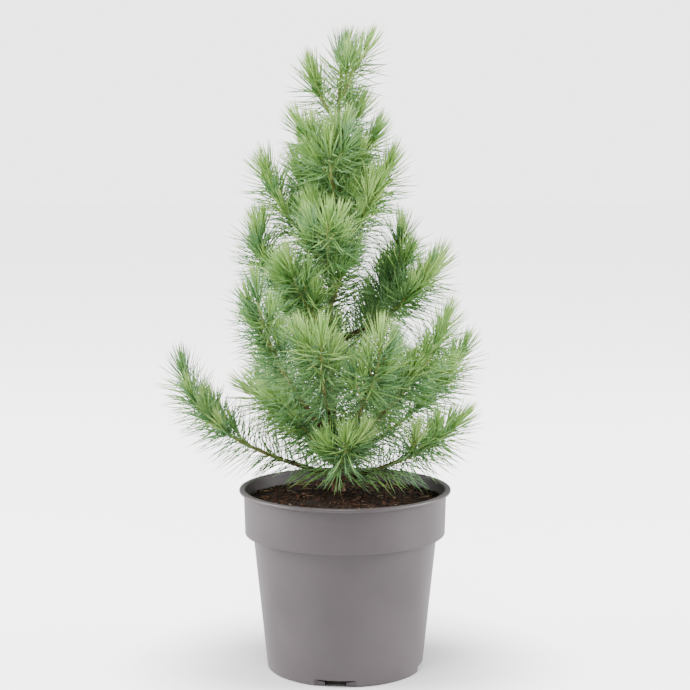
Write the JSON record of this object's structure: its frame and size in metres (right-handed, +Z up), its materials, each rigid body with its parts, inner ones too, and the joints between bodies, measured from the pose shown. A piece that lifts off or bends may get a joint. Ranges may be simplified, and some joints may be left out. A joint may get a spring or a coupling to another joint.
{
  "type": "potted silver crest stone pine",
  "caption": "Young potted stone pine with a slim upright trunk, upswept side shoots and brush-like blue-green needles, standing in a round tapered nursery pot.",
  "frame": {"origin": "centre of the pot's flat underside", "axes": "+Z up along the trunk; the picture's viewer stands at -Y, and +X is to the viewer's right"},
  "size_m": [0.2087, 0.1619, 0.3993],
  "materials": {
    "pot": "matt grey-taupe moulded plastic, slightly dusty",
    "soil": "dark moist potting soil with bark chips",
    "bark": "thin brown scaly bark, greener towards the tips",
    "needles": "soft blue-green needles, paler and yellower at the growing tips"
  },
  "bodies": {
    "root": {"pot": "pot", "soil": "soil", "trunk": "bark", "bough_big_left": "bark", "bough_big_right": "bark", "bough_front": "bark", "bough_front_right": "bark", "bough_left_upright": "bark", "bough_low_left": "bark", "bough_low_rear": "bark", "bough_low_rear_left": "bark", "bough_low_rear_right": "bark", "bough_low_right": "bark", "bough_rear_left": "bark", "bough_rear_right": "bark", "bough_right_arm": "bark", "bough_right_upright": "bark", "bough_side_right": "bark", "needles_big_left": "needles", "needles_big_right": "needles", "needles_collar_01": "needles", "needles_collar_02": "needles", "needles_collar_03": "needles", "needles_collar_04": "needles", "needles_collar_05": "needles", "needles_collar_06": "needles", "needles_collar_07": "needles", "needles_collar_08": "needles", "needles_collar_09": "needles", "needles_front": "needles", "needles_front_left": "needles", "needles_front_right": "needles", "needles_inner_left": "needles", "needles_inner_upper_left": "needles", "needles_leader": "needles", "needles_left_upright": "needles", "needles_low_front": "needles", "needles_low_left": "needles", "needles_low_rear": "needles", "needles_low_rear_left": "needles", "needles_low_rear_right": "needles", "needles_low_right": "needles", "needles_mid_left": "needles", "needles_rear_high": "needles", "needles_rear_left": "needles", "needles_rear_right": "needles", "needles_right_arm": "needles", "needles_right_upright": "needles", "needles_side_right": "needles", "needles_top_front": "needles", "needles_top_left": "needles", "needles_top_rear": "needles", "needles_top_right": "needles", "needles_upper_front": "needles", "needles_upper_left": "needles", "needles_upper_rear": "needles", "needles_upper_right": "needles"}
  },
  "joints": []
}
